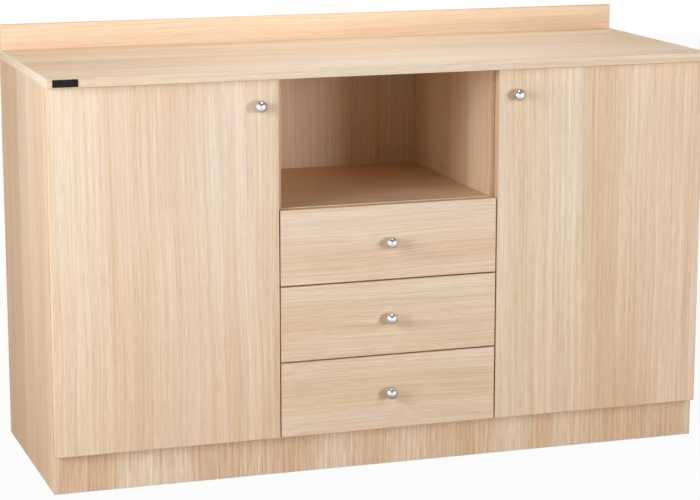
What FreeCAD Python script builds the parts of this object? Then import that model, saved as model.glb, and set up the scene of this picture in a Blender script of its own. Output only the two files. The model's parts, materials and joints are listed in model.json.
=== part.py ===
import FreeCAD, Part
import os
import re
import sys

# Waiter service station: a laminated board cabinet with two cupboards, an open niche and three drawers.
# Millimetres. +Z is up, +X runs along the worktop, the front faces -Y.
# The origin is on the floor, below the middle of the whole station.

os.makedirs("parts", exist_ok=True)
doc = FreeCAD.newDocument("waiter_service_station")

# ---------------------------------------------------------------- driving sizes
sizes = {
    # carcass
    "worktop_length": 1400,
    "worktop_depth": 520,
    "worktop_height": 837,
    "worktop_board": 18,
    "front_overhang": 20,
    "side_overhang": 1,
    "upstand_rise": 53,
    "upstand_board": 18,
    "carcass_board": 18,
    "plinth_height": 80,
    "plinth_board": 18,
    "rear_plinth_inset": 40,
    "niche_floor": 553,
    "back_board": 8,
    "back_inset": 15,
    "groove_depth": 6,
    "groove_slack": 0.5,
    # fronts
    "front_board": 18,
    "front_gap": 3,
    "bottom_reveal": 1.5,
    "front_inset": 2,
    "buffer_gap": 2,
    "buffer_radius": 4,
    "buffer_slack": 0.2,
    "buffer_inset": 30,
    # cupboard shelves
    "shelf_board": 18,
    "shelf_height": 440,
    "shelf_slack": 0.6,
    "shelf_setback": 18,
    "shelf_pin_radius": 2.5,
    "shelf_pin_hold": 9,
    "shelf_pin_reach": 9,
    "shelf_pin_inset": 50,
    "pin_pitch": 32,
    "pin_depth": 10,
    # dowels and cam fittings
    "dowel_radius": 4,
    "dowel_in_face": 12,
    "dowel_in_edge": 18,
    "dowel_inset": 80,
    "bore_slack": 0.05,
    "cam_radius": 7.5,
    "cam_height": 12.5,
    "cam_reach": 34,
    "cam_bolt_radius": 3.4,
    "cam_pilot_radius": 2.5,
    "cam_pilot_depth": 11,
    "cam_inset": 45,
    # knobs
    "knob_radius": 12.5,
    "knob_reach": 27,
    "knob_neck_radius": 5,
    "knob_foot_radius": 7.5,
    "knob_foot_height": 2,
    "knob_from_edge": 40,
    "knob_from_top": 51,
    "knob_screw_radius": 2,
    "knob_screw_head": 4,
    "knob_screw_cap": 2,
    "knob_screw_grip": 8,
    # blank plate on the worktop's edge
    "plate_length": 50,
    "plate_height": 15,
    "plate_board": 1,
    "plate_inset": 10,
    # drawer boxes and telescopic slides
    "box_board": 12,
    "box_height": 105,
    "box_rear_gap": 12,
    "box_rise": 25,
    "box_bottom_board": 4,
    "box_bottom_rise": 8,
    "box_groove": 5,
    "box_dowel_radius": 3,
    "box_dowel_inset": 20,
    "slide_space": 12.7,
    "slide_setback": 3,
    "slide_rear_gap": 14,
    "slide_rise": 45,
    "slide_sheet": 1.2,
    "outer_height": 45,
    "outer_depth": 9.6,
    "inter_height": 35,
    "inter_depth": 9,
    "inter_web": 2.2,
    "inner_height": 25,
    "inner_depth": 8.2,
    "race_gap": 0.3,
    "cage_length": 180,
    "cage_width": 4,
    "cage_end": 12,
    # concealed hinges: "from_panel" runs inward from the side panel's inner face, "sunk" and "raised"
    # run from the door's rear face
    "hinge_inset": 100,
    "cup_radius": 17.5,
    "cup_depth": 12.5,
    "cup_wall": 1.1,
    "cup_floor": 0.9,
    "cup_from_panel": 6.5,
    "wing_offset": 6,
    "wing_width": 15,
    "wing_spread": 24,
    "wing_end": 5,
    "wing_sheet": 1,
    "arm_pivot_from_panel": 18.6,
    "arm_pivot_sunk": 9.7,
    "cup_pivot_from_panel": -0.7,
    "cup_pivot_sunk": 4.7,
    "knee_from_panel": 8.8,
    "knee_raised": 3.6,
    "arm_sheet": 2.6,
    "arm_width": 13,
    "arm_tail": 2,
    "link_sheet": 2.4,
    "link_width": 8,
    "link_slack": 0.3,
    "pivot_radius": 0.8,
    "eye_radius": 1.6,
    "plate_from_front": 22,
    "plate_run": 32,
    "plate_width": 16,
    "plate_rise": 5,
    "plate_wing": 48,
    "plate_wing_run": 12,
    "plate_wing_rise": 2,
    "screw_radius": 1.7,
    "screw_head": 3.2,
    "screw_length": 12,
}

sheet = doc.addObject("Spreadsheet::Sheet", "Sizes")
for row, (name, size) in enumerate(sizes.items(), start=1):
    sheet.set(f"A{row}", name)
    sheet.set(f"B{row}", str(size))
    sheet.setAlias(f"B{row}", name)
doc.recompute()

# ---------------------------------------------------------------- places that follow from the sizes
places = {
    "face": "0 - ({worktop_depth} - {front_overhang} - {knob_reach}) / 2",
    "carcass_front": "{face} + {front_board} + {buffer_gap}",
    "rear": "{face} - {front_overhang} + {worktop_depth}",
    "back_front": "{rear} - {back_inset} - {back_board}",
    "underside": "{worktop_height} - {worktop_board}",
    "floor_top": "{plinth_height} + {carcass_board}",
    "niche_under": "{niche_floor} - {carcass_board}",
    "carcass_half": "{worktop_length} / 2 - {side_overhang}",
    "side_inner": "{carcass_half} - {carcass_board}",
    "column_line": "{worktop_length} / 6",
    "divider_outer": "{column_line} + {carcass_board} / 2",
    "divider_inner": "{column_line} - {carcass_board} / 2",
    "door_outer": "{carcass_half} - {front_inset}",
    "door_inner": "{column_line} + {front_gap} / 2",
    "drawer_half": "{column_line} - {front_gap} / 2",
    "fronts_bottom": "{plinth_height} + {bottom_reveal}",
    "doors_top": "{underside} - {front_gap}",
    "drawers_top": "{niche_floor} - {front_gap} / 2",
    "drawer_height": "({drawers_top} - {fronts_bottom} - 2 * {front_gap}) / 3",
    "front_back": "{face} + {front_board}",
    "box_half": "{divider_inner} - {slide_space}",
    "box_end": "{back_front} - {box_rear_gap}",
    "slide_front": "{carcass_front} + {slide_setback}",
    "slide_rear": "{back_front} - {slide_rear_gap}",
    "dowel_front": "{carcass_front} + {dowel_inset}",
    "dowel_rear": "{back_front} - {dowel_inset}",
    "cam_front": "{dowel_front} + {cam_inset}",
    "cam_rear": "{dowel_rear} - {cam_inset}",
    "pin_front": "{carcass_front} + {shelf_setback} + {shelf_pin_inset}",
    "pin_rear": "{back_front} - {shelf_pin_inset}",
    "cup_open_radius": "{cup_radius} - {cup_wall}",
    "cup_floor_v": "{front_board} - {cup_depth} + {cup_floor}",
    "panel_u": "{carcass_board} - {front_inset}",
    "cup_u": "{panel_u} + {cup_from_panel}",
    "arm_pivot_u": "{panel_u} + {arm_pivot_from_panel}",
    "arm_pivot_v": "{front_board} - {arm_pivot_sunk}",
    "cup_pivot_u": "{panel_u} + {cup_pivot_from_panel}",
    "cup_pivot_v": "{front_board} - {cup_pivot_sunk}",
    "knee_u": "{panel_u} + {knee_from_panel}",
    "knee_v": "{front_board} + {knee_raised}",
    "plate_front": "{carcass_front} + {plate_from_front}",
    "arm_end": "{plate_front} + {plate_run} + {arm_tail} - ({face})",
    "link_half": "{link_width} / 2",
    "arm_half": "{arm_width} / 2",
}


def value(text):
    """Writes {names} as cell references, or as the formula of a derived place."""
    def swap(found):
        name = found[1]
        return f"({value(places[name])})" if name in places else f"Sizes.{name}"
    return re.sub(r"\{(\w+)\}", swap, text)


def bind(item, **formulas):
    """Binds properties, with a double underscore for a dot, to formulas of the sheet."""
    for name, text in formulas.items():
        item.setExpression(name.replace("__", "."), value(text))


def place(item, x, y, z):
    bind(item, Placement__Base__x=x, Placement__Base__y=y, Placement__Base__z=z)


# ---------------------------------------------------------------- shapes
nodes = {}
turns = {
    "x": FreeCAD.Rotation(FreeCAD.Vector(0, 1, 0), 90),
    "-x": FreeCAD.Rotation(FreeCAD.Vector(0, 1, 0), -90),
    "y": FreeCAD.Rotation(FreeCAD.Vector(1, 0, 0), -90),
    "-y": FreeCAD.Rotation(FreeCAD.Vector(1, 0, 0), 90),
    "z": FreeCAD.Rotation(),
    "-z": FreeCAD.Rotation(FreeCAD.Vector(1, 0, 0), 180),
}


def block(name, across, along, up):
    """A box between two formulas on each axis."""
    item = doc.addObject("Part::Box", name)
    bind(item, Length=f"({across[1]}) - ({across[0]})",
         Width=f"({along[1]}) - ({along[0]})",
         Height=f"({up[1]}) - ({up[0]})")
    place(item, across[0], along[0], up[0])
    return item


def rod(name, radius, length, start, heading):
    """A cylinder that leaves its start point along the heading."""
    item = doc.addObject("Part::Cylinder", name)
    item.Placement.Rotation = turns[heading]
    bind(item, Radius=radius, Height=length)
    place(item, *start)
    return item


def cone(name, radius, end_radius, length, start, heading):
    item = doc.addObject("Part::Cone", name)
    item.Placement.Rotation = turns[heading]
    bind(item, Radius1=radius, Radius2=end_radius, Height=length)
    place(item, *start)
    return item


def bar(name, start, end, thickness, low, high):
    """An upright plate from one plan point to another, thickness wide in plan."""
    item = doc.addObject("Part::Box", name)
    item.Placement.Rotation = FreeCAD.Rotation(FreeCAD.Vector(0, 0, 1), 1)
    across = f"(({end[0]}) - ({start[0]}))"
    along = f"(({end[1]}) - ({start[1]}))"
    angle = f"atan2({along}; {across})"
    bind(item, Length=f"sqrt({across}^2 + {along}^2)", Width=thickness, Height=f"({high}) - ({low})",
         Placement__Rotation__Angle=angle)
    place(item, f"{start[0]} + sin({angle}) * ({thickness}) / 2",
          f"{start[1]} - cos({angle}) * ({thickness}) / 2", low)
    return item


def fused(name, *members):
    item = doc.addObject("Part::MultiFuse", name)
    item.Shapes = list(members)
    return item


def grouped(name, members):
    item = doc.addObject("Part::Compound", name)
    item.Links = list(members)
    return item


def carved(name, whole, cutters):
    """The whole less its cutters."""
    item = doc.addObject("Part::Cut", name)
    item.Base = whole
    item.Tool = cutters[0] if len(cutters) == 1 else grouped(f"{name}_cutters", cutters)
    return item


def finish(label, item):
    """Makes the object a sub-part: its label names its file."""
    item.Label = label
    nodes[label] = item
    return item


# ---------------------------------------------------------------- boards
boards = {}
cutters = {}


def board(label, across, along, up):
    boards[label] = block(f"{label}_board", across, along, up)
    cutters[label] = []


def groove(label, across, along, up):
    number = len(cutters[label])
    cutters[label].append(block(f"{label}_groove_{number}", across, along, up))


def bore(label, radius, depth, start, heading):
    number = len(cutters[label])
    cutters[label].append(rod(f"{label}_bore_{number}", radius, depth, start, heading))


def finish_boards(labels):
    for label in labels:
        cut = cutters[label]
        finish(label, carved(f"{label}_cut", boards[label], cut) if cut else boards[label])


def mirrored(side, low, high):
    """The x range low..high on the right, or its mirror image on the left."""
    return (low, high) if side > 0 else (f"0 - ({high})", f"0 - ({low})")


def at(side, x):
    return x if side > 0 else f"0 - ({x})"


hands = {"left": -1, "right": 1}
outward = {-1: "-x", 1: "x"}
inward = {-1: "x", 1: "-x"}
depth_range = ("{carcass_front}", "{rear}")

for hand, side in hands.items():
    board(f"{hand}_side_panel", mirrored(side, "{side_inner}", "{carcass_half}"), depth_range,
          ("0", "{underside}"))
    board(f"{hand}_divider", mirrored(side, "{divider_inner}", "{divider_outer}"), depth_range,
          ("{floor_top}", "{underside}"))
board("bottom_panel", ("0 - {side_inner}", "{side_inner}"), depth_range,
      ("{plinth_height}", "{floor_top}"))
board("niche_shelf", ("0 - {divider_inner}", "{divider_inner}"), ("{carcass_front}", "{back_front}"),
      ("{niche_under}", "{niche_floor}"))
board("worktop", ("0 - {worktop_length} / 2", "{worktop_length} / 2"),
      ("{face} - {front_overhang}", "{rear}"), ("{underside}", "{worktop_height}"))
board("upstand", ("0 - {worktop_length} / 2", "{worktop_length} / 2"),
      ("{rear} - {upstand_board}", "{rear}"), ("{worktop_height}", "{worktop_height} + {upstand_rise}"))
board("plinth_board", ("0 - {side_inner}", "{side_inner}"),
      ("{carcass_front}", "{carcass_front} + {plinth_board}"), ("0", "{plinth_height}"))
board("rear_plinth_board", ("0 - {side_inner}", "{side_inner}"),
      ("{rear} - {rear_plinth_inset} - {plinth_board}", "{rear} - {rear_plinth_inset}"),
      ("0", "{plinth_height}"))

# The back panels stand in grooves of the panels beside, below and above them.
back_range = ("{back_front}", "{back_front} + {back_board}")
held = "({groove_depth} - {groove_slack})"
up_range = (f"{{floor_top}} - {held}", f"{{underside}} + {held}")
for hand, side in hands.items():
    board(f"{hand}_back_panel",
          mirrored(side, f"{{divider_outer}} - {held}", f"{{side_inner}} + {held}"), back_range, up_range)
    groove(f"{hand}_side_panel", mirrored(side, "{side_inner}", "{side_inner} + {groove_depth}"),
           back_range, ("{floor_top} - {groove_depth}", "{underside}"))
    for low, high in (("{divider_outer} - {groove_depth}", "{divider_outer}"),
                      ("{divider_inner}", "{divider_inner} + {groove_depth}")):
        groove(f"{hand}_divider", mirrored(side, low, high), back_range, ("{floor_top}", "{underside}"))
    for label, low, high in (("bottom_panel", "{floor_top} - {groove_depth}", "{floor_top}"),
                             ("worktop", "{underside}", "{underside} + {groove_depth}")):
        groove(label, mirrored(side, "{divider_outer} - {groove_depth}", "{side_inner} + {groove_depth}"),
               back_range, (low, high))
board("niche_back_panel", (f"0 - {{divider_inner}} - {held}", f"{{divider_inner}} + {held}"),
      back_range, up_range)
for label, low, high in (("bottom_panel", "{floor_top} - {groove_depth}", "{floor_top}"),
                         ("worktop", "{underside}", "{underside} + {groove_depth}")):
    groove(label, ("0 - {divider_inner} - {groove_depth}", "{divider_inner} + {groove_depth}"),
           back_range, (low, high))

supports = []
for hand, side in hands.items():
    supports.append(block(f"{hand}_cross_support", mirrored(side, "{divider_inner}", "{divider_outer}"),
                          ("{carcass_front} + {plinth_board}",
                           "{rear} - {rear_plinth_inset} - {plinth_board}"),
                          ("0", "{plinth_height}")))
finish("plinth_cross_supports", grouped("plinth_cross_supports_group", supports))

# ---------------------------------------------------------------- dowels and cam fittings
dowels = []
cams = []


def dowel(face_board, edge_board, point, heading):
    """A dowel across a butt joint; heading runs from the edge into the other board's face."""
    back = {"x": "-x", "-x": "x", "z": "-z", "-z": "z"}[heading]
    sign = "-" if heading.startswith("-") else "+"
    axis = "xyz".index(heading[-1])
    start = list(point)
    start[axis] = f"{point[axis]} {'+' if sign == '-' else '-'} ({{dowel_in_edge}})"
    number = len(dowels)
    dowels.append(rod(f"dowel_{number}", "{dowel_radius}", "{dowel_in_edge} + {dowel_in_face}",
                      start, heading))
    radius = "{dowel_radius} + {bore_slack}"
    bore(face_board, radius, "{dowel_in_face} + {groove_slack}", point, heading)
    bore(edge_board, radius, "{dowel_in_edge} + {groove_slack}", point, back)


def cam(face_board, edge_board, point, heading, cam_side):
    """A cam in the edge board and its bolt, which screws into the other board's face."""
    back = {"x": "-x", "-x": "x", "z": "-z", "-z": "z"}[heading]
    away = "+" if heading.startswith("-") else "-"
    axis = "xyz".index(heading[-1])
    seat = list(point)
    seat[axis] = f"{point[axis]} {away} ({{cam_reach}})"
    level = "xyz".index(cam_side[-1])
    half = "{carcass_board} / 2"
    seat[level] = f"{point[level]} {'-' if cam_side.startswith('-') else '+'} ({half})"
    inside = {"x": "-x", "-x": "x", "z": "-z", "-z": "z"}[cam_side]
    number = len(cams)
    disc = rod(f"cam_disc_{number}", "{cam_radius}", "{cam_height}", seat, inside)
    start = list(point)
    start[axis] = f"{point[axis]} {away} ({{cam_reach}})"
    bolt = rod(f"cam_bolt_{number}", "{cam_bolt_radius}", "{cam_reach}", start, heading)
    thread = rod(f"cam_thread_{number}", "{cam_pilot_radius}", "{cam_pilot_depth}", point, heading)
    cams.append(fused(f"cam_{number}", disc, bolt, thread))
    bore(face_board, "{cam_pilot_radius} + {bore_slack}", "{cam_pilot_depth} + {groove_slack}",
         point, heading)
    bore(edge_board, "{cam_bolt_radius} + {bore_slack}", "{cam_reach}", point, back)
    bore(edge_board, "{cam_radius} + {bore_slack}", "{cam_height} + {groove_slack}", seat, inside)


floor_mid = "{floor_top} - {carcass_board} / 2"
niche_mid = "{niche_floor} - {carcass_board} / 2"
for hand, side in hands.items():
    side_panel = f"{hand}_side_panel"
    divider = f"{hand}_divider"
    side_mid = at(side, "({carcass_half} - {carcass_board} / 2)")
    line = at(side, "{column_line}")
    for along in ("{dowel_front}", "{dowel_rear}"):
        dowel("worktop", side_panel, (side_mid, along, "{underside}"), "z")
        dowel("worktop", divider, (line, along, "{underside}"), "z")
        dowel("bottom_panel", divider, (line, along, "{floor_top}"), "-z")
        dowel(side_panel, "bottom_panel", (at(side, "{side_inner}"), along, floor_mid), outward[side])
        dowel(divider, "niche_shelf", (at(side, "{divider_inner}"), along, niche_mid), outward[side])
    for along in ("{cam_front}", "{cam_rear}"):
        cam("worktop", side_panel, (side_mid, along, "{underside}"), "z", inward[side])
        cam("worktop", divider, (line, along, "{underside}"), "z", outward[side])
        cam(side_panel, "bottom_panel", (at(side, "{side_inner}"), along, floor_mid), outward[side], "-z")
        cam(divider, "niche_shelf", (at(side, "{divider_inner}"), along, niche_mid), outward[side], "-z")
for step in (-3, -1, 1, 3):
    dowel("worktop", "upstand",
          (f"{step} * {{worktop_length}} / 8", "{rear} - {upstand_board} / 2", "{worktop_height}"), "-z")
finish("wooden_dowels", grouped("wooden_dowels_group", dowels))
finish("cam_fittings", grouped("cam_fittings_group", cams))

# ---------------------------------------------------------------- cupboard shelves on pins
pins = []
shelves = []
for hand, side in hands.items():
    shelves.append(block(
        f"{hand}_shelf",
        mirrored(side, "{divider_outer} + {shelf_slack}", "{side_inner} - {shelf_slack}"),
        ("{carcass_front} + {shelf_setback}", "{back_front} - {shelf_slack}"),
        ("{shelf_height}", "{shelf_height} + {shelf_board}")))
    pin_level = "{shelf_height} - {shelf_pin_radius}"
    for along_name, along in (("front", "{pin_front}"), ("rear", "{pin_rear}")):
        for label, wall, into, out in (
                (f"{hand}_side_panel", "{side_inner}", outward[side], "{side_inner} + {shelf_pin_hold}"),
                (f"{hand}_divider", "{divider_outer}", inward[side], "{divider_outer} - {shelf_pin_hold}")):
            away = inward[side] if into == outward[side] else outward[side]
            pins.append(rod(f"{label}_{along_name}_pin", "{shelf_pin_radius}",
                            "{shelf_pin_hold} + {shelf_pin_reach}", (at(side, out), along, pin_level),
                            away))
            for step in (-1, 0, 1):
                bore(label, "{shelf_pin_radius} + {bore_slack}", "{pin_depth}",
                     (at(side, wall), along, f"{pin_level} + {step} * {{pin_pitch}}"), into)
finish("cupboard_shelves", grouped("cupboard_shelves_group", shelves))
finish("shelf_pins", grouped("shelf_pins_group", pins))

# ---------------------------------------------------------------- blank plate
finish("blank_edge_plate", block(
    "edge_plate",
    ("0 - {worktop_length} / 2 + {plate_inset}",
     "0 - {worktop_length} / 2 + {plate_inset} + {plate_length}"),
    ("{face} - {front_overhang} - {plate_board}", "{face} - {front_overhang}"),
    ("{underside} + ({worktop_board} - {plate_height}) / 2",
     "{underside} + ({worktop_board} + {plate_height}) / 2")))


# ---------------------------------------------------------------- knobs
def knob(label, x, z):
    """A ball on a short neck with a flared foot, tapped from behind for its screw."""
    ball = doc.addObject("Part::Sphere", f"{label}_ball")
    ball.Placement.Rotation = turns["-y"]
    bind(ball, Radius="{knob_radius}")
    place(ball, x, "{face} - {knob_reach} + {knob_radius}", z)
    neck = rod(f"{label}_neck", "{knob_neck_radius}", "{knob_reach} - {knob_radius}", (x, "{face}", z), "-y")
    foot = cone(f"{label}_foot", "{knob_foot_radius}", "{knob_neck_radius}", "{knob_foot_height}",
                (x, "{face}", z), "-y")
    tapped = rod(f"{label}_tapping", "{knob_screw_radius} + {bore_slack}",
                 "{knob_screw_grip} + {groove_slack}", (x, "{face}", z), "-y")
    return finish(label, carved(f"{label}_tapped", fused(f"{label}_turned", ball, neck, foot), [tapped]))


def knob_screw(name, x, z):
    """A pan head on the inside of the front and a shank through it into the knob."""
    shank = rod(f"{name}_shank", "{knob_screw_radius}", "{front_board} + {knob_screw_grip}",
                (x, "{front_back}", z), "-y")
    head = rod(f"{name}_head", "{knob_screw_head}", "{knob_screw_cap}", (x, "{front_back}", z), "y")
    return fused(name, shank, head)


def front_panel(label, low, high, bottom, top):
    board(label, (low, high), ("{face}", "{front_back}"), (bottom, top))


def knob_hole(label, x, z):
    bore(label, "{knob_screw_radius} + {bore_slack}", "{front_board}", (x, "{front_back}", z), "-y")


# ---------------------------------------------------------------- doors and concealed hinges
def plan(side, u, v):
    """A plan point u in from the door's outer edge and v behind its front face."""
    return at(side, f"({{door_outer}} - ({u}))"), f"{{face}} + ({v})"


def hinge_cup(name, side, level):
    """A round cup let into the door, with screw wings and two lugs for the link's pin."""
    x, mouth = plan(side, "{cup_u}", "{front_board}")
    shell = rod(f"{name}_shell", "{cup_radius}", "{cup_depth}", (x, mouth, level), "-y")
    hollow = rod(f"{name}_hollow", "{cup_open_radius}", "{cup_depth} - {cup_floor}", (x, mouth, level), "-y")
    cup = carved(f"{name}_cup", shell, [hollow])
    wing_low, _ = plan(side, "{cup_u} + {wing_offset} - {wing_width} / 2", "0")
    wing_high, _ = plan(side, "{cup_u} + {wing_offset} + {wing_width} / 2", "0")
    across = (wing_high, wing_low) if side > 0 else (wing_low, wing_high)
    wing = block(f"{name}_wing", across, (mouth, f"{mouth} + {{wing_sheet}}"),
                 (f"{level} - {{wing_spread}} - {{wing_end}}", f"{level} + {{wing_spread}} + {{wing_end}}"))
    opening = rod(f"{name}_wing_opening", "{cup_open_radius}", "{wing_sheet} * 3",
                  (x, f"{mouth} - {{wing_sheet}}", level), "y")
    screw_x, _ = plan(side, "{cup_u} + {wing_offset}", "0")
    holes = [rod(f"{name}_screw_hole_{sign}", "{screw_radius} + {bore_slack}", "{wing_sheet} * 3",
                 (screw_x, f"{mouth} - {{wing_sheet}}", f"{level} {sign} {{wing_spread}}"), "y")
             for sign in "+-"]
    flange = carved(f"{name}_flange", wing, [opening] + holes)
    pin_x, pin_y = plan(side, "{cup_pivot_u}", "{cup_pivot_v}")
    lugs = []
    for sign in "+-":
        near = f"{level} {sign} ({{link_half}} + {{link_slack}})"
        far = f"{level} {sign} {{arm_half}}"
        low, high = (near, far) if sign == "+" else (far, near)
        ends = (f"{pin_x} - {{eye_radius}}", f"{pin_x} + {{eye_radius}}")
        lugs.append(block(f"{name}_lug_{sign}", ends, (f"{{face}} + {{cup_floor_v}} - {{cup_floor}} / 2",
                                                      pin_y), (low, high)))
        lugs.append(rod(f"{name}_lug_top_{sign}", "{eye_radius}", f"({high}) - ({low})",
                        (pin_x, pin_y, low), "z"))
    pin = rod(f"{name}_pin", "{pivot_radius}", "{arm_width}",
              (pin_x, pin_y, f"{level} - {{arm_half}}"), "z")
    return fused(name, cup, flange, pin, *lugs)


def cup_screws(name, side, level):
    x, back = plan(side, "{cup_u} + {wing_offset}", "{front_board}")
    screws = []
    for sign in "+-":
        height = f"{level} {sign} {{wing_spread}}"
        shank = rod(f"{name}_shank_{sign}", "{screw_radius}", "{screw_length} + {wing_sheet}",
                    (x, f"{back} + {{wing_sheet}}", height), "-y")
        head = cone(f"{name}_head_{sign}", "{screw_head}", "{screw_radius}", "{wing_sheet}",
                    (x, f"{back} + {{wing_sheet}}", height), "y")
        screws.append(fused(f"{name}_{sign}", shank, head))
    return screws


def hinge_arm(name, side, level):
    """A plate arm with a forked nose that dips into the cup and carries the link's pin."""
    low = f"{level} - {{arm_half}}"
    high = f"{level} + {{arm_half}}"
    nose_end = plan(side, "{knee_u}", "{knee_v}")
    nose_start = plan(side, "{arm_pivot_u}", "{arm_pivot_v}")
    heel = plan(side, "{knee_u}", "{knee_v} + {arm_sheet}")
    tail = plan(side, "{knee_u}", "{arm_end}")
    parts = [bar(f"{name}_beam", heel, tail, "{arm_sheet}", low, high)]
    foot_near, _ = plan(side, "{knee_u}", "0")
    foot_far = at(side, "({side_inner} - {plate_rise})")
    ends = (foot_near, foot_far) if side > 0 else (foot_far, foot_near)
    parts.append(block(f"{name}_foot", ends,
                       ("{plate_front}", "{plate_front} + {plate_run}"),
                       (f"{level} - {{plate_width}} / 4", f"{level} + {{plate_width}} / 4")))
    for sign in "+-":
        near = f"{level} {sign} ({{link_half}} + {{link_slack}})"
        far = f"{level} {sign} {{arm_half}}"
        bottom, top = (near, far) if sign == "+" else (far, near)
        parts.append(bar(f"{name}_cheek_{sign}", nose_start, nose_end, "{arm_sheet}", bottom, top))
        parts.append(bar(f"{name}_throat_{sign}", nose_end, heel, "{arm_sheet}", bottom, top))
        for spot, radius, centre in (("eye", "{eye_radius}", nose_start),
                                     ("knee", "{arm_sheet} / 2", nose_end)):
            parts.append(rod(f"{name}_{spot}_{sign}", radius, f"({top}) - ({bottom})",
                             (centre[0], centre[1], bottom), "z"))
    parts.append(rod(f"{name}_pin", "{pivot_radius}", "{arm_width}",
                     (nose_start[0], nose_start[1], low), "z"))
    return fused(name, *parts)


def hinge_link(name, side, level):
    """A short plate with an eye at each end: one on the arm's pin, one on the cup's."""
    ends = [plan(side, "{arm_pivot_u}", "{arm_pivot_v}"), plan(side, "{cup_pivot_u}", "{cup_pivot_v}")]
    low = f"{level} - {{link_half}}"
    high = f"{level} + {{link_half}}"
    parts = [bar(f"{name}_web", ends[0], ends[1], "{link_sheet}", low, high)]
    holes = []
    for number, (x, y) in enumerate(ends):
        parts.append(rod(f"{name}_eye_{number}", "{eye_radius}", "{link_width}", (x, y, low), "z"))
        holes.append(rod(f"{name}_hole_{number}", "{pivot_radius} + {bore_slack}", "{link_width}",
                         (x, y, low), "z"))
    return carved(name, fused(f"{name}_plate", *parts), holes)


def mounting_plate(name, side, level):
    """A cross-shaped plate on the side panel, with two pegs pressed into the panel."""
    wall = "{side_inner}"
    middle_y = "{plate_front} + {plate_run} / 2"
    core = block(f"{name}_core", mirrored(side, f"{wall} - {{plate_rise}}", wall),
                 ("{plate_front}", "{plate_front} + {plate_run}"),
                 (f"{level} - {{plate_width}} / 2", f"{level} + {{plate_width}} / 2"))
    wing = block(f"{name}_wing", mirrored(side, f"{wall} - {{plate_wing_rise}}", wall),
                 (f"{middle_y} - {{plate_wing_run}} / 2", f"{middle_y} + {{plate_wing_run}} / 2"),
                 (f"{level} - {{plate_wing}} / 2", f"{level} + {{plate_wing}} / 2"))
    pegs = []
    for sign in "+-":
        spot = (at(side, wall), middle_y, f"{level} {sign} {{pin_pitch}} / 2")
        pegs.append(rod(f"{name}_peg_{sign}", "{shelf_pin_radius}", "{pin_depth}", spot, outward[side]))
        bore(f"{'right' if side > 0 else 'left'}_side_panel", "{shelf_pin_radius} + {bore_slack}",
             "{pin_depth} + {groove_slack}", spot, outward[side])
    return fused(name, core, wing, *pegs)


arms = []
plates = []
buffers = []
hinge_levels = {"low": "({fronts_bottom} + {hinge_inset})", "high": "({doors_top} - {hinge_inset})"}
for hand, side in hands.items():
    door = f"{hand}_door_panel"
    low, high = mirrored(side, "{door_inner}", "{door_outer}")
    front_panel(door, low, high, "{fronts_bottom}", "{doors_top}")
    knob_x = at(side, "({door_inner} + {knob_from_edge})")
    knob_z = "{doors_top} - {knob_from_top}"
    knob(f"{hand}_door_knob", knob_x, knob_z)
    knob_hole(door, knob_x, knob_z)
    cups = []
    links = []
    screws = [knob_screw(f"{hand}_door_knob_screw", knob_x, knob_z)]
    for name, level in hinge_levels.items():
        cup_x, cup_mouth = plan(side, "{cup_u}", "{front_board}")
        bore(door, "{cup_radius} + {bore_slack}", "{cup_depth}", (cup_x, cup_mouth, level), "-y")
        screw_x, screw_y = plan(side, "{cup_u} + {wing_offset}", "{front_board}")
        for sign in "+-":
            bore(door, "{screw_radius} + {bore_slack}", "{screw_length} + {groove_slack}",
                 (screw_x, screw_y, f"{level} {sign} {{wing_spread}}"), "-y")
        cups.append(hinge_cup(f"{hand}_{name}_cup", side, level))
        links.append(hinge_link(f"{hand}_{name}_link", side, level))
        screws.extend(cup_screws(f"{hand}_{name}_cup_screw", side, level))
        arms.append(hinge_arm(f"{hand}_{name}_arm", side, level))
        plates.append(mounting_plate(f"{hand}_{name}_plate", side, level))
        buffer_z = (f"{{fronts_bottom}} + {{buffer_inset}}" if name == "low"
                    else f"{{doors_top}} - {{buffer_inset}}")
        buffers.append(rod(f"{hand}_{name}_buffer", "{buffer_radius}", "{buffer_gap} - {buffer_slack}",
                           (at(side, "({divider_outer} - {buffer_radius} - {front_gap} / 2)"),
                            "{carcass_front}", buffer_z), "-y"))
    finish(f"{hand}_door_hinge_cups", grouped(f"{hand}_cups_group", cups))
    finish(f"{hand}_door_hinge_links", grouped(f"{hand}_links_group", links))
    finish(f"{hand}_door_screws", grouped(f"{hand}_screws_group", screws))
    finish_boards([door])
finish("hinge_arms", grouped("hinge_arms_group", arms))
finish("hinge_mounting_plates", grouped("hinge_plates_group", plates))
finish("door_buffers", grouped("door_buffers_group", buffers))


# ---------------------------------------------------------------- telescopic slides
def channel(name, side, web, reach, height, level):
    """A folded channel: its web stands web from the divider, its flanges reach from there."""
    along = ("{slide_front}", "{slide_rear}")
    inner = "{divider_inner}"
    toward = reach.startswith("-")
    width = reach.lstrip("-")
    first = f"{inner} - ({web})"
    web_range = mirrored(side, f"{first} - {{slide_sheet}}", first)
    if toward:
        flange = mirrored(side, f"{first} - {{slide_sheet}}", f"{first} - {{slide_sheet}} + ({width})")
    else:
        flange = mirrored(side, f"{first} - ({width})", first)
    parts = [block(f"{name}_web", web_range, along, (f"{level} - {height} / 2", f"{level} + {height} / 2"))]
    for sign in "+-":
        edge = f"{level} {sign} {height} / 2"
        inside = f"{level} {sign} ({height} / 2 - {{slide_sheet}})"
        low, high = (inside, edge) if sign == "+" else (edge, inside)
        parts.append(block(f"{name}_flange_{sign}", flange, along, (low, high)))
    return parts


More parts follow.
